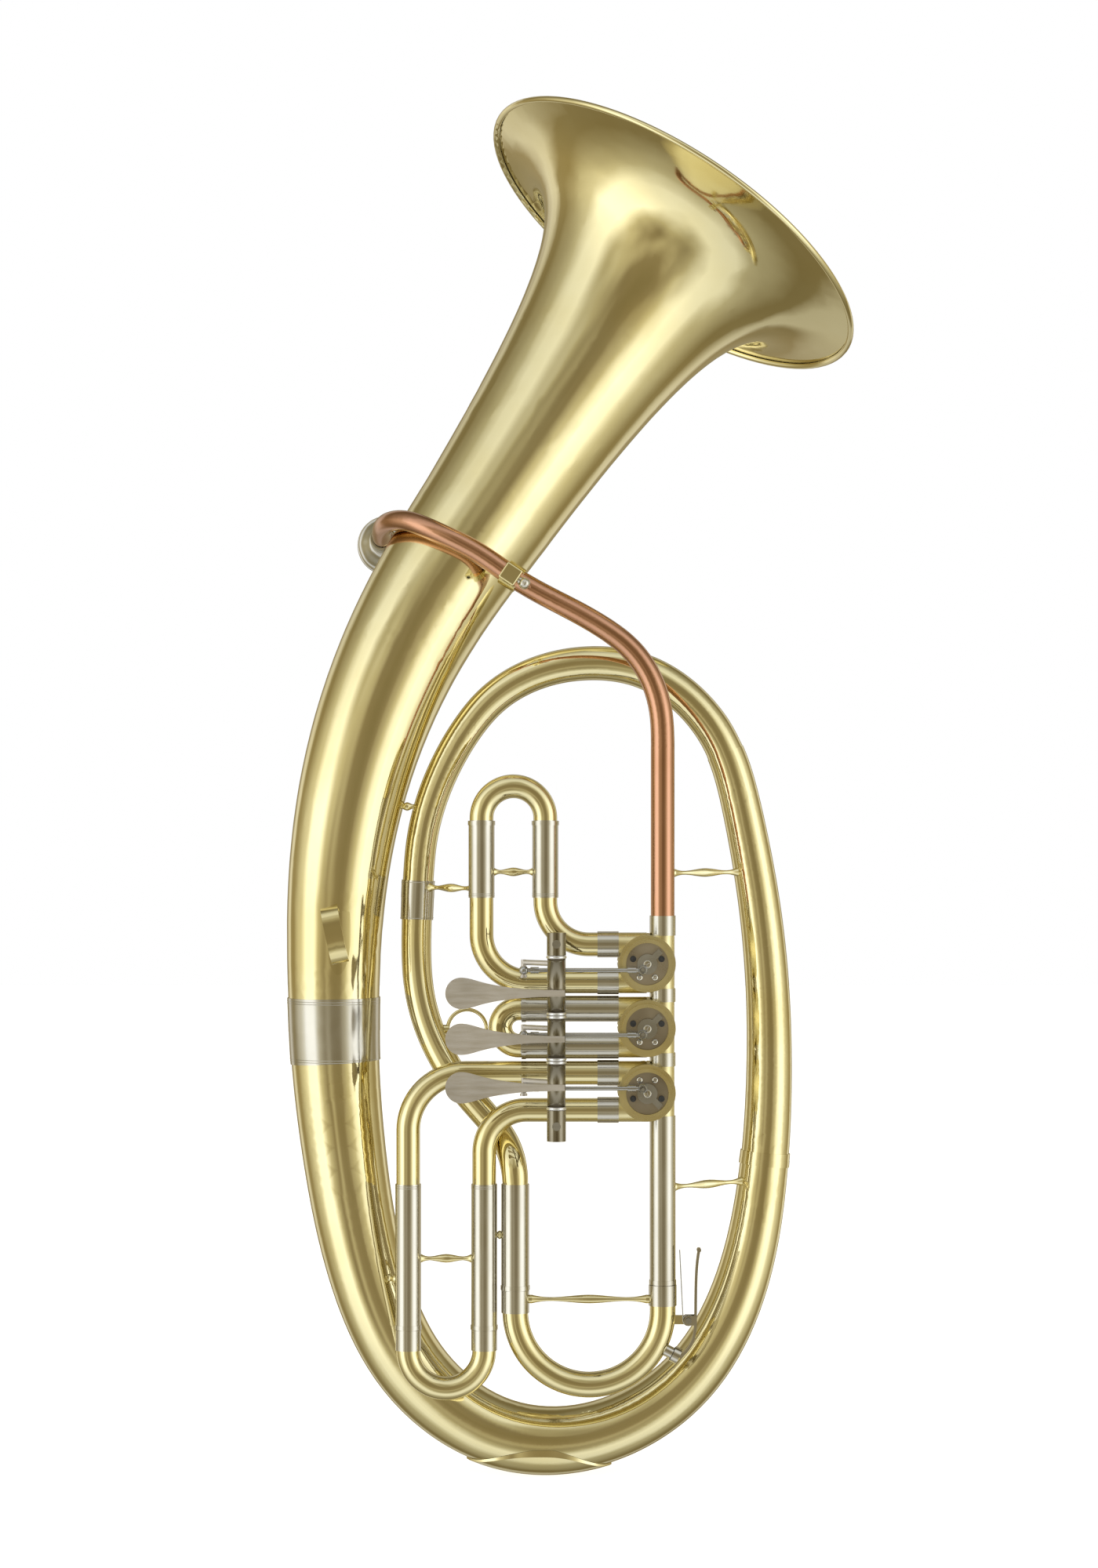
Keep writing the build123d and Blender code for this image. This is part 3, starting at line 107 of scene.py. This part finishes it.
def ramp(tree, source, stops):
    node = tree.nodes.new("ShaderNodeValToRGB")
    elements = node.color_ramp.elements
    while len(elements) < len(stops):
        elements.new(0.5)
    for element, (place, colour) in zip(elements, stops):
        element.position = place
        element.color = (*colour, 1.0)
    tree.links.new(source, node.inputs["Fac"])
    return node


def grey(value):
    return (value, value, value)


def add_bump(tree, shader, source, strength, depth):
    bump = tree.nodes.new("ShaderNodeBump")
    bump.inputs["Strength"].default_value = strength
    bump.inputs["Distance"].default_value = depth
    tree.links.new(source, bump.inputs["Height"])
    tree.links.new(bump.outputs["Normal"], shader.inputs["Normal"])


def metal(name, light, dark, rough, spread, coat, scratch, stretch=(1, 1, 1)):
    """Polished metal: its colour drifts, its roughness varies and fine scratches cross it."""
    material, tree, shader = new_material(name)
    shader.inputs["Metallic"].default_value = 1.0
    drift = noise(tree, DRIFT_SCALE, 4.0)
    tint = ramp(tree, drift.outputs["Fac"], [(0.30, dark), (0.52, light), (1.0, light)])
    tree.links.new(tint.outputs["Color"], shader.inputs["Base Color"])
    cloud = noise(tree, HAZE_SCALE, 6.0, stretch)
    low, high = max(rough - spread, SMOOTHEST), rough + spread
    haze = ramp(tree, cloud.outputs["Fac"], [(0.35, grey(low)), (0.70, grey(high))])
    tree.links.new(haze.outputs["Color"], shader.inputs["Roughness"])
    grain = noise(tree, GRAIN_SCALE, 2.0, stretch)
    add_bump(tree, shader, grain.outputs["Fac"], scratch, GRAIN_DEPTH)
    shader.inputs["Coat Weight"].default_value = coat
    shader.inputs["Coat Roughness"].default_value = COAT_ROUGHNESS
    return material


def rubber(name, shade):
    """Matt rubber with fine specks."""
    material, tree, shader = new_material(name)
    speck = noise(tree, SPECK_SCALE, 4.0)
    stops = [(0.3, grey(shade * 0.6)), (0.8, grey(shade * 2.2))]
    tone = ramp(tree, speck.outputs["Fac"], stops)
    tree.links.new(tone.outputs["Color"], shader.inputs["Base Color"])
    shader.inputs["Roughness"].default_value = RUBBER_ROUGHNESS
    add_bump(tree, shader, speck.outputs["Fac"], 0.25, SPECK_DEPTH)
    return material


# light tone, dark tone, roughness, its spread, coat, scratch strength, stretch of the noise
METALS = {
    "lacquered_brass": (BRASS, (0.76, 0.66, 0.35), 0.07, 0.03, 0.15, 0.006),
    "gold_brass": (COPPER, (0.50, 0.25, 0.14), 0.16, 0.05, 0.3, 0.02),
    "nickel_silver": (NICKEL, (0.54, 0.51, 0.44), 0.16, 0.05, 0.0, 0.03),
    "satin_nickel": (SATIN, (0.54, 0.51, 0.48), 0.42, 0.06, 0.0, 0.20, (1, 8, 8)),
    "silver_plate": (SILVER, (0.80, 0.81, 0.82), 0.08, 0.03, 0.0, 0.01),
    "steel": (STEEL, (0.40, 0.39, 0.37), 0.28, 0.08, 0.0, 0.10),
    "dark_steel": (BLUED, (0.26, 0.22, 0.17), 0.32, 0.08, 0.0, 0.12),
    "brushed_brass": (BRASS, (0.72, 0.60, 0.28), 0.30, 0.05, 0.1, 0.05),
    "smoked_nickel": (SMOKED, (0.16, 0.14, 0.10), 0.17, 0.06, 0.0, 0.04),
    "rotor_bronze": (BRONZE, (0.50, 0.36, 0.18), 0.30, 0.06, 0.0, 0.12, (1, 6, 1)),
}
FINISH = {name: metal(name, *values) for name, values in METALS.items()}
FINISH["bumper_rubber"] = rubber("bumper_rubber", RUBBER)

# nodes whose finish differs from the rest of their slot
FINER = {
    "rocker_posts": "smoked_nickel",
    "valve_casings": "brushed_brass",
    "stop_arm_1": "steel",
    "stop_arm_2": "steel",
    "stop_arm_3": "steel",
    "link_1": "steel",
    "link_2": "steel",
    "link_3": "steel",
}


# ---------------------------------------------------------------- the CAD nodes' finishes
def dress_frame():
    slots = {part["node"]: part["material_slot"] for part in frame["record"]["subparts"]}
    for name, shown in frame["nodes"].items():
        finish = FINISH[FINER.get(name, slots[name])]
        mesh = shown.data
        if not mesh.materials:
            mesh.materials.append(finish)
        for index in range(len(mesh.materials)):
            shown.material_slots[index].link = "OBJECT"
            shown.material_slots[index].material = finish


# ---------------------------------------------------------------- added pieces
RING_POINTS = 72
FEWEST_POINTS = 40


def axis_of(node):
    """Middle of an upright node across and deep."""
    low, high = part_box(node)
    return (low[0] + high[0]) / 2, (low[1] + high[1]) / 2


def put(name, build, body, finish):
    """A new piece from a bmesh, smooth shaded, riding on a CAD body."""
    mesh = bpy.data.meshes.new(name)
    bmesh.ops.recalc_face_normals(build, faces=build.faces)
    build.to_mesh(mesh)
    build.free()
    for polygon in mesh.polygons:
        polygon.use_smooth = True
    mesh.materials.append(FINISH[finish])
    piece = bpy.data.objects.new(name, mesh)
    bpy.context.collection.objects.link(piece)
    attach(piece, body)


def tube_through(build, points, radius, sides=10):
    """Closed round bead through a ring of points."""
    count = len(points)
    middle = sum(points, Vector()) / count
    rows = []
    for index, point in enumerate(points):
        along = (points[(index + 1) % count] - points[index - 1]).normalized()
        out = (point - middle).normalized()
        up = along.cross(out).normalized()
        out = up.cross(along)
        row = []
        for side in range(sides):
            turn = 2 * math.pi * side / sides
            away = math.cos(turn) * out + math.sin(turn) * up
            row.append(build.verts.new(point + radius * away))
        rows.append(row)
    for index in range(count):
        row, after = rows[index], rows[(index + 1) % count]
        for side in range(sides):
            nearer = (side + 1) % sides
            build.faces.new((row[side], after[side], after[nearer], row[nearer]))


def surface_ring(node, centre, reach):
    """Points where a level plane meets the outside of an upright CAD node."""
    shown = frame["nodes"][node]
    axis = Vector((0, 0, 1))
    across = axis.orthogonal().normalized()
    other = axis.cross(across)
    points = []
    for index in range(RING_POINTS):
        turn = 2 * math.pi * index / RING_POINTS
        out = math.cos(turn) * across + math.sin(turn) * other
        hit, place, _, _ = shown.ray_cast(centre + out * reach, -out, distance=reach)
        if hit:
            points.append(place)
    return points


def beads(node, spots, reach, radius):
    """Round beads on an upright CAD node, as one piece that rides on the horn."""
    build = bmesh.new()
    for spot in spots:
        ring = surface_ring(node, Vector(spot), reach)
        if len(ring) > FEWEST_POINTS:
            tube_through(build, ring, radius)
    put(node + "_lines", build, "horn", "nickel_silver")


def lathe(build, profile, place, sides=48):
    """Turned solid: (radius, height) pairs, spun round the place's z axis."""
    rows = []
    for radius, height in profile:
        row = []
        for side in range(sides):
            turn = 2 * math.pi * side / sides
            spot = Vector((radius * math.cos(turn), radius * math.sin(turn), height))
            row.append(build.verts.new(place @ spot))
        rows.append(row)
    for row, after in zip(rows, rows[1:]):
        for side in range(sides):
            nearer = (side + 1) % sides
            build.faces.new((row[side], row[nearer], after[nearer], after[side]))
    build.faces.new(rows[0][::-1])
    build.faces.new(rows[-1])


def facing_front(point):
    """Place at the point whose z axis points at -Y."""
    return Matrix.Translation(point) @ Matrix.Rotation(math.radians(90), 4, "X")


def slotted_screw(names, body, spot, head, slit_shade):
    """Domed screw head facing the front, and a dark steel bar across it for the slit, as two
    pieces: the bar is painted shade standing in for the shaded groove.
    """
    profile, sides = head
    build = bmesh.new()
    lathe(build, profile, facing_front(spot), sides)
    put(names[0], build, body, "nickel_silver")
    # painted shade: the slit is no groove but a dark steel bar standing proud of the head, where a
    # real slot would lie in shadow
    lift, size, rounding, turn = slit_shade
    place = facing_front(spot + Vector((0, -lift, 0))) @ Matrix.Rotation(turn, 4, "Z")
    build = bmesh.new()
    bmesh.ops.create_cube(build, size=1.0, matrix=place @ Matrix.Diagonal((*size, 1)))
    bmesh.ops.bevel(build, geom=build.edges[:], offset=rounding, segments=2, affect="EDGES")
    put(names[1], build, body, "dark_steel")


def valve_axis(number):
    """Middle of a rotor across and up, and the front of its spindle."""
    low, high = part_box(f"rotor_{number}")
    return (low[0] + high[0]) / 2, low[1], (low[2] + high[2]) / 2


# each screw head's profile and number of sides, and the size of the dark bar painted as the shaded
# slit
SPINDLE_HEAD = (
    ((0.0024, 0.0), (0.0024, 0.0002), (0.0021, 0.0004), (0.0013, 0.0005), (0.0004, 0.00055)),
    48,
)
SPINDLE_SLIT_SHADE = (0.0038, 0.0006, 0.0005)
PLATE_HEAD = (
    ((0.0019, 0.0), (0.0019, 0.0004), (0.0016, 0.0007), (0.0008, 0.0009), (0.0002, 0.0009)),
    24,
)
PLATE_SLIT_SHADE = (0.0032, 0.0006, 0.0008)
PLATE_SCREW_REACH = 0.0092
PLATE_SCREW_ANGLES = (60, 120)


def spindle_screws():
    """Slotted screw that holds each stop arm on its spindle, low enough for the link to pass."""
    for number in VALVES:
        x, front, z = valve_axis(number)
        names = (f"spindle_screw_{number}", f"spindle_slit_{number}")
        slit_shade = (0.00042, SPINDLE_SLIT_SHADE, 0.0001, 0.6 * number)
        spot = Vector((x, front - 0.00003, z))
        slotted_screw(names, f"rotor_{number}", spot, SPINDLE_HEAD, slit_shade)


def plate_screws():
    """Two slotted screws that hold each stop plate, opposite its corks."""
    plate_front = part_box("stop_plates")[0][1]
    for number in VALVES:
        x, _, z = valve_axis(number)
        side = 1 if number == 3 else -1
        for index, angle in enumerate(PLATE_SCREW_ANGLES):
            turn = math.radians(side * angle)
            across, up = PLATE_SCREW_REACH * math.cos(turn), PLATE_SCREW_REACH * math.sin(turn)
            spot = Vector((x + across, plate_front + 0.0001, z + up))
            name = f"plate_screw_{number}_{index + 1}"
            slit_shade = (0.0006, PLATE_SLIT_SHADE, 0.00008, 0.9 * angle)
            slotted_screw((name, name + "_slit"), "horn", spot, PLATE_HEAD, slit_shade)


COLLAR_R = 0.0057
COLLAR_HEIGHT = 0.0016
COLLAR_INSET = 0.0001
COLLAR_SWELL = 0.0003
ON_COLLAR = 0.00004
SKIN_R = 0.00537


def barrel_span(node, x, y):
    """Heights of the end collars of a lever's barrel, found from the mesh's vertices on them."""
    shown = frame["nodes"][node]
    heights = []
    for vertex in shown.data.vertices:
        spot = shown.matrix_world @ vertex.co
        if abs(math.hypot(spot.x - x, spot.y - y) - COLLAR_R) < ON_COLLAR:
            heights.append(spot.z)
    return min(heights), max(heights)


def turned(name, node, profile, place, finish):
    build = bmesh.new()
    lathe(build, profile, place)
    put(name, build, node, finish)


def barrel_skins():
    """Dark plated skin round each rocker barrel, with a bright turned collar at each end."""
    x, y = axis_of("rocker_axle")
    tall = COLLAR_HEIGHT - 2 * COLLAR_INSET
    inner, wide = COLLAR_R - COLLAR_INSET, COLLAR_R + COLLAR_SWELL
    for number in VALVES:
        node = f"lever_{number}"
        bottom, top = barrel_span(node, x, y)
        place = Matrix.Translation((x, y, bottom))
        length = top - bottom
        skin = [(SKIN_R, tall), (SKIN_R, length - tall)]
        turned(f"barrel_skin_{number}", node, skin, place, "smoked_nickel")
        for end, start in (("low", COLLAR_INSET), ("high", length - COLLAR_HEIGHT + COLLAR_INSET)):
            collar = [(inner, start), (wide, start + tall * 0.25)]
            collar += [(wide, start + tall * 0.75), (inner, start + tall)]
            turned(f"barrel_collar_{number}_{end}", node, collar, place, "silver_plate")


# radii of the beads; each ferrule with the insets of its beads and the radius they are found from
LINE_R = 0.00022
FINE_LINE_R = 0.00018
FERRULES = {"bell_ferrule": ((0.0022, 0.0036), 0.045), "loop_ferrule": ((0.0015,), 0.018)}
SLEEVE_RADIUS = 0.00815
SLEEVE_INSETS = (0.0012, 0.0024)
SLEEVE_REACH = 0.012


def ferrule_lines():
    """Fine turned lines near both edges of the two large ferrules."""
    for node, (insets, reach) in FERRULES.items():
        low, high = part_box(node)
        x, y = axis_of(node)
        heights = [low[2] + inset for inset in insets]
        heights += [high[2] - inset for inset in reversed(insets)]
        beads(node, [(x, y, z) for z in heights], reach, LINE_R)


def sleeve_lines():
    """Fine turned lines at the soldered end of each upright sleeve."""
    for node, end in (("slide_1_sleeves", 0), ("slide_3_sleeves", 1)):
        low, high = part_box(node)
        y = (low[1] + high[1]) / 2
        edge, step = (high[2], -1) if end else (low[2], 1)
        spots = []
        for x in (low[0] + SLEEVE_RADIUS, high[0] - SLEEVE_RADIUS):
            spots += [(x, y, edge + step * inset) for inset in SLEEVE_INSETS]
        beads(node, spots, SLEEVE_REACH, FINE_LINE_R)


# ---------------------------------------------------------------- stage, light and camera
# Brightness of the room from straight behind the horn (0) to straight behind the camera (1):
# a soft panel behind, warm dim walls, wide bright panels beside the camera, a dark strip behind it
ROOM = [
    (0.00, (0.26, 0.22, 0.13)),
    (0.035, (0.30, 0.25, 0.15)),
    (0.080, (0.66, 0.63, 0.54)),
    (0.13, (0.66, 0.63, 0.54)),
    (0.19, (0.30, 0.25, 0.14)),
    (0.26, (0.30, 0.25, 0.14)),
    (0.38, (0.48, 0.44, 0.32)),
    (0.52, (0.72, 0.69, 0.56)),
    (0.65, (1.26, 1.28, 1.26)),
    (0.79, (1.32, 1.34, 1.32)),
    (0.90, (0.58, 0.54, 0.40)),
    (0.96, (0.25, 0.21, 0.13)),
    (1.00, (0.21, 0.175, 0.10)),
]
# Share of that brightness left from straight down (0) to straight up (1)
HEIGHTS = [(0.00, 0.52), (0.22, 0.66), (0.42, 1.0), (0.56, 1.0), (0.76, 0.66), (1.00, 0.45)]
ROOM_STRENGTH = 1.30
UNEVEN_SCALE = 2.2
UNEVEN_DETAIL = 1.5
UNEVEN_RANGE = (-0.10, 0.07)
FLOOR_SIZE = 6.0
FLOOR_DROP = 0.0005
FLOOR_GLOW = 0.80
FLOOR_ROUGHNESS = 0.9
FLOOR_SCALE = 0.6
CAMERA_OFFSET = Vector((-0.01515, -2.5658, -0.00129))
CAMERA_LENS = 63.0
CAMERA_SENSOR = 24.0


def map_range(tree, source, taken, given=(0.0, 1.0)):
    node = tree.nodes.new("ShaderNodeMapRange")
    node.inputs["From Min"].default_value, node.inputs["From Max"].default_value = taken
    node.inputs["To Min"].default_value, node.inputs["To Max"].default_value = given
    tree.links.new(source, node.inputs["Value"])
    return node.outputs["Result"]


def combine(tree, operation, first, second):
    """Sum or product of an output and another output or number."""
    node = tree.nodes.new("ShaderNodeMath")
    node.operation = operation
    tree.links.new(first, node.inputs[0])
    if isinstance(second, float):
        node.inputs[1].default_value = second
    else:
        tree.links.new(second, node.inputs[1])
    return node.outputs["Value"]


def by_camera(tree, others, camera, surface):
    """The camera sees one shader, and every other ray sees the other."""
    path = tree.nodes.new("ShaderNodeLightPath")
    mix = tree.nodes.new("ShaderNodeMixShader")
    tree.links.new(path.outputs["Is Camera Ray"], mix.inputs["Fac"])
    tree.links.new(others, mix.inputs[1])
    tree.links.new(camera, mix.inputs[2])
    tree.links.new(mix.outputs["Shader"], surface)


def studio_world():
    """A room of panels, seen only in reflections, with a white backdrop for the camera."""
    world = bpy.data.worlds.new("studio")
    bpy.context.scene.world = world
    world.use_nodes = True
    tree = world.node_tree
    tree.nodes.clear()
    place = tree.nodes.new("ShaderNodeTexCoord")
    split = tree.nodes.new("ShaderNodeSeparateXYZ")
    tree.links.new(place.outputs["Generated"], split.inputs["Vector"])
    facing = map_range(tree, split.outputs["Y"], (1.0, -1.0))
    uneven = tree.nodes.new("ShaderNodeTexNoise")
    uneven.inputs["Scale"].default_value = UNEVEN_SCALE
    uneven.inputs["Detail"].default_value = UNEVEN_DETAIL
    tree.links.new(place.outputs["Generated"], uneven.inputs["Vector"])
    ripple = map_range(tree, uneven.outputs["Fac"], (0.0, 1.0), UNEVEN_RANGE)
    glow = ramp(tree, combine(tree, "ADD", facing, ripple), ROOM)
    rise = map_range(tree, split.outputs["Z"], (-1.0, 1.0))
    share = ramp(tree, rise, [(height, grey(value)) for height, value in HEIGHTS])
    around = tree.nodes.new("ShaderNodeBackground")
    tree.links.new(glow.outputs["Color"], around.inputs["Color"])
    strength = combine(tree, "MULTIPLY", share.outputs["Color"], ROOM_STRENGTH)
    tree.links.new(strength, around.inputs["Strength"])
    white = tree.nodes.new("ShaderNodeBackground")
    white.inputs["Color"].default_value = (1, 1, 1, 1)
    white.inputs["Strength"].default_value = 1.0
    surface = tree.nodes.new("ShaderNodeOutputWorld").inputs["Surface"]
    by_camera(tree, around.outputs["Background"], white.outputs["Background"], surface)


def add_floor():
    """Pale floor under the bow guard. The brass reflects the room through it, not the floor."""
    size = FLOOR_SIZE
    z = LOW.z - FLOOR_DROP
    mesh = bpy.data.meshes.new("floor")
    corners = [(-size, -size, z), (size, -size, z), (size, size, z), (-size, size, z)]
    mesh.from_pydata(corners, [], [(0, 1, 2, 3)])
    floor = bpy.data.objects.new("floor", mesh)
    bpy.context.collection.objects.link(floor)
    material, tree, shader = new_material("floor")
    shade = noise(tree, FLOOR_SCALE, 2.0)
    tone = ramp(tree, shade.outputs["Fac"], [(0.2, grey(0.80)), (0.8, grey(0.84))])
    tree.links.new(tone.outputs["Color"], shader.inputs["Base Color"])
    shader.inputs["Roughness"].default_value = FLOOR_ROUGHNESS
    shader.inputs["Emission Color"].default_value = (1, 1, 1, 1)
    shader.inputs["Emission Strength"].default_value = FLOOR_GLOW
    clear = tree.nodes.new("ShaderNodeBsdfTransparent")
    surface = tree.nodes["Material Output"].inputs["Surface"]
    by_camera(tree, clear.outputs["BSDF"], shader.outputs["BSDF"], surface)
    mesh.materials.append(material)


def add_camera():
    """Level camera in front of the levers, a little left of the box's middle."""
    data = bpy.data.cameras.new("camera")
    data.sensor_fit = "VERTICAL"
    data.sensor_height = CAMERA_SENSOR
    data.lens = CAMERA_LENS
    camera = bpy.data.objects.new("camera", data)
    camera.location = MIDDLE + CAMERA_OFFSET
    camera.rotation_euler = (math.radians(90), 0, 0)
    bpy.context.collection.objects.link(camera)
    bpy.context.scene.camera = camera


dress_frame()
spindle_screws()
plate_screws()
barrel_skins()
ferrule_lines()
sleeve_lines()
studio_world()
add_floor()
add_camera()
bpy.context.scene.view_settings.view_transform = "Standard"
